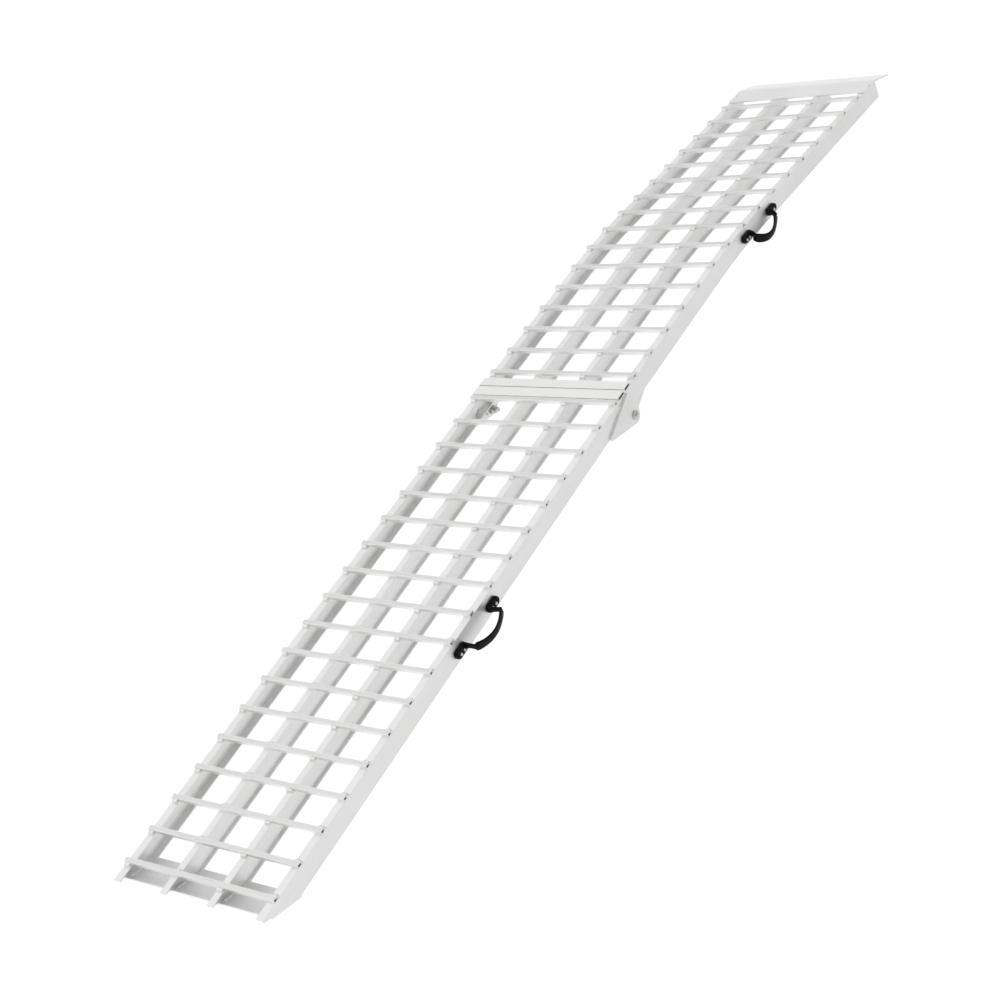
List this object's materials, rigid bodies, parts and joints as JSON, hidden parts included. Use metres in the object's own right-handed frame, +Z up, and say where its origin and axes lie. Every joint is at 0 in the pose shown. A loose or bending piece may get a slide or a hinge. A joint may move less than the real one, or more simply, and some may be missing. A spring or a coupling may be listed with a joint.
{
  "type": "folding loading ramp",
  "caption": "Folding aluminium loading ramp with open rungs on bent rails, a hinge at mid length, a foot plate, a lip plate and side carrying handles.",
  "frame": {"origin": "under the middle of the bounding box, on the ground the unfolded ramp lies on", "axes": "+Y from the ground end to the lip, +Z up, X across the ramp with the handles on the +X side"},
  "size_m": [0.3512, 2.1126, 0.0882],
  "materials": {
    "rail_aluminium": "mill-finish extrusion, satin, drawn lines along the rail",
    "rung_aluminium": "mill-finish extrusion, satin, brighter on the worn grip ribs",
    "plate_aluminium": "rolled mill-finish plate, satin",
    "zinc_steel": "bright zinc-plated steel",
    "rivet_aluminium": "bright, slightly dulled",
    "handle_rubber": "moulded, satin black"
  },
  "bodies": {
    "lower_section": {"lower_rung_01": "rung_aluminium", "lower_rung_02": "rung_aluminium", "lower_rung_03": "rung_aluminium", "lower_rung_04": "rung_aluminium", "lower_rung_05": "rung_aluminium", "lower_rung_06": "rung_aluminium", "lower_rung_07": "rung_aluminium", "lower_rung_08": "rung_aluminium", "lower_rung_09": "rung_aluminium", "lower_rung_10": "rung_aluminium", "lower_rung_11": "rung_aluminium", "lower_rung_12": "rung_aluminium", "lower_rung_13": "rung_aluminium", "lower_rung_14": "rung_aluminium", "lower_rung_15": "rung_aluminium", "lower_rung_16": "rung_aluminium", "lower_rung_17": "rung_aluminium", "lower_rung_18": "rung_aluminium", "lower_rail_left": "rail_aluminium", "lower_rail_inner_left": "rail_aluminium", "lower_rail_inner_right": "rail_aluminium", "lower_rail_right": "rail_aluminium", "lower_end_bar": "rung_aluminium", "foot_plate": "plate_aluminium", "lower_hinge_plate_left": "plate_aluminium", "lower_hinge_plate_right": "plate_aluminium", "pivot_bolt_left": "zinc_steel", "pivot_bolt_right": "zinc_steel", "pivot_nut_left": "zinc_steel", "pivot_nut_right": "zinc_steel", "pivot_washers": "zinc_steel", "lower_handle": "handle_rubber", "lower_handle_rivets": "rivet_aluminium"},
    "upper_section": {"upper_rung_01": "rung_aluminium", "upper_rung_02": "rung_aluminium", "upper_rung_03": "rung_aluminium", "upper_rung_04": "rung_aluminium", "upper_rung_05": "rung_aluminium", "upper_rung_06": "rung_aluminium", "upper_rung_07": "rung_aluminium", "upper_rung_08": "rung_aluminium", "upper_rung_09": "rung_aluminium", "upper_rung_10": "rung_aluminium", "upper_rung_11": "rung_aluminium", "upper_rung_12": "rung_aluminium", "upper_rung_13": "rung_aluminium", "upper_rung_14": "rung_aluminium", "upper_rung_15": "rung_aluminium", "upper_rung_16": "rung_aluminium", "upper_rail_left": "rail_aluminium", "upper_rail_inner_left": "rail_aluminium", "upper_rail_inner_right": "rail_aluminium", "upper_rail_right": "rail_aluminium", "upper_end_bar": "rung_aluminium", "lip_plate": "plate_aluminium", "upper_hinge_plate_left": "plate_aluminium", "upper_hinge_plate_right": "plate_aluminium", "upper_handle": "handle_rubber", "upper_handle_rivets": "rivet_aluminium"}
  },
  "joints": [
    {"name": "fold", "type": "hinge", "parent": "lower_section", "child": "upper_section", "pos_m": [-0.01295, 0.0046, 0.02992], "axis": [-1, 0, 0], "range_deg": [0, 176.4]}
  ]
}
